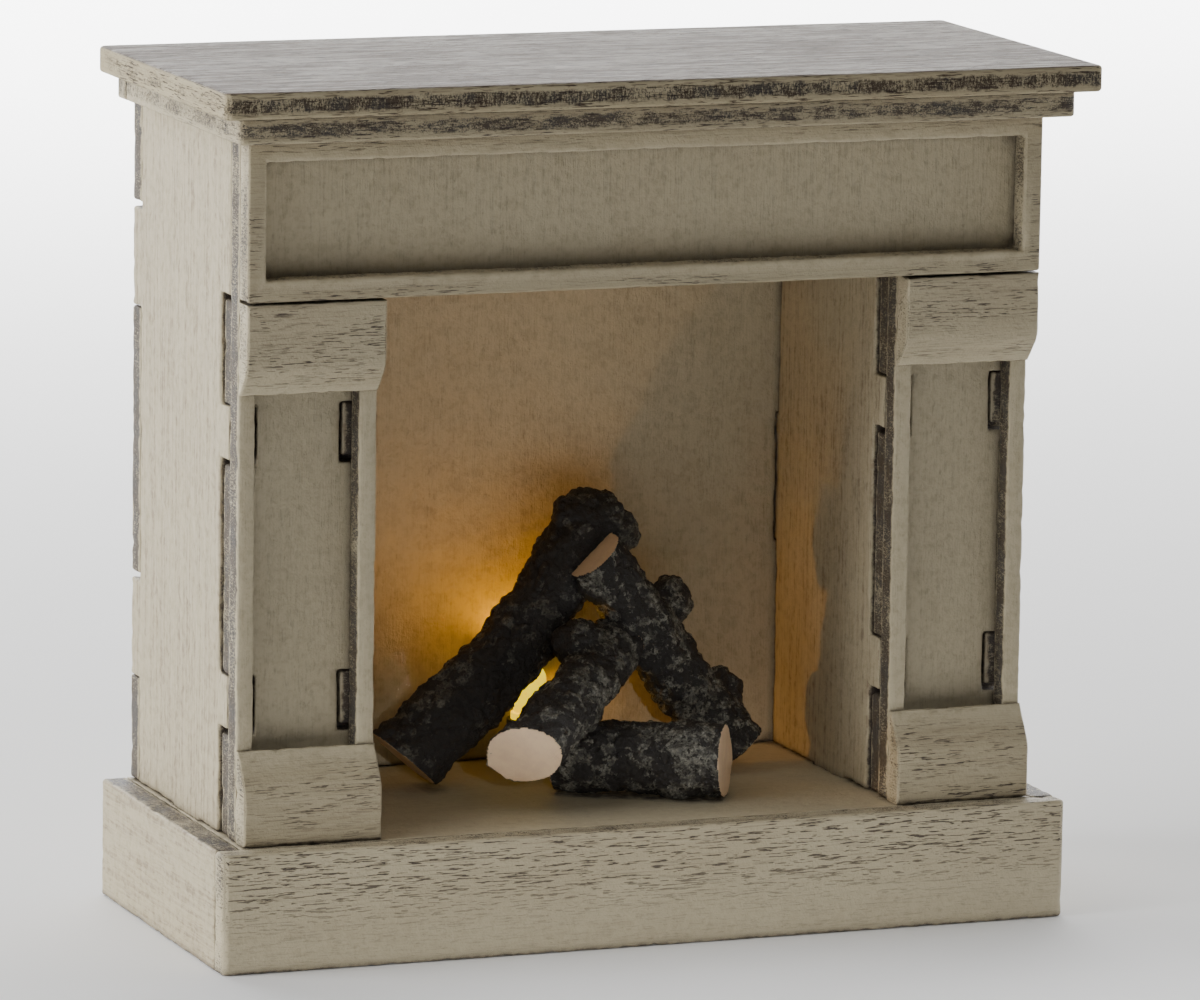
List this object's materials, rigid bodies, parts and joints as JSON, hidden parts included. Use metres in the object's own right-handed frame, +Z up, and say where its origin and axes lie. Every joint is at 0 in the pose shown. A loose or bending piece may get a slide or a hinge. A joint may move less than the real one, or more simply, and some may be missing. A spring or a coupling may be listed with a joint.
{
  "type": "miniature fireplace mantel",
  "caption": "Dolls house fireplace of jointed painted plywood with pilasters, sunk frieze, shelf and plinth, and a pile of charred logs with an amber lamp behind.",
  "frame": {"origin": "on the table, under the middle of the mantel's width and depth", "axes": "+Z up, +X to the right as seen from the front, +Y to the back; the front faces -Y"},
  "size_m": [0.1372, 0.062, 0.13],
  "materials": {
    "painted_plywood": "chalky greige paint over plywood, rubbed back along grain and edges",
    "charred_log": "painted cast resin, charred bark with pale cut ends",
    "lamp_lens": "clear amber resin, lit",
    "black_plastic": "fine matt moulding",
    "tinned_steel": "tinned",
    "contact_brass": "sprung brass strip",
    "red_insulation": "satin",
    "black_insulation": "satin"
  },
  "bodies": {
    "mantel": {"shelf_board": "painted_plywood", "cornice_board": "painted_plywood", "cornice_back_strip": "painted_plywood", "frieze_frame": "painted_plywood", "face_frame": "painted_plywood", "front_panel": "painted_plywood", "cap_block_left": "painted_plywood", "cap_block_right": "painted_plywood", "base_block_left": "painted_plywood", "base_block_right": "painted_plywood", "side_wall_left": "painted_plywood", "side_wall_right": "painted_plywood", "cheek_left": "painted_plywood", "cheek_right": "painted_plywood", "back_panel": "painted_plywood", "firebox_ceiling": "painted_plywood", "hearth_board": "painted_plywood", "plinth_front_board": "painted_plywood", "plinth_side_board_left": "painted_plywood", "plinth_side_board_right": "painted_plywood", "plinth_rear_board": "painted_plywood", "left_log": "charred_log", "low_log": "charred_log", "right_log": "charred_log", "front_log": "charred_log", "lamp_lens": "lamp_lens", "lamp_legs": "tinned_steel", "lamp_holder": "black_plastic", "battery_box": "black_plastic", "positive_contact": "contact_brass", "negative_contact": "contact_brass", "battery_box_screws": "tinned_steel", "switch_housing": "tinned_steel", "switch_terminals": "tinned_steel", "red_wire": "red_insulation", "black_battery_wire": "black_insulation", "black_lamp_wire": "black_insulation"},
    "battery_drawer": {"battery_tray": "black_plastic", "coin_cell": "tinned_steel"},
    "switch_slider": {"switch_knob": "black_plastic"}
  },
  "joints": [
    {"name": "tray_slide", "type": "slide", "parent": "mantel", "child": "battery_drawer", "axis": [0, 1, 0], "range_m": [0, 0.026]},
    {"name": "switch_slide", "type": "slide", "parent": "mantel", "child": "switch_slider", "axis": [1, 0, 0], "range_m": [-0.002, 0]}
  ]
}
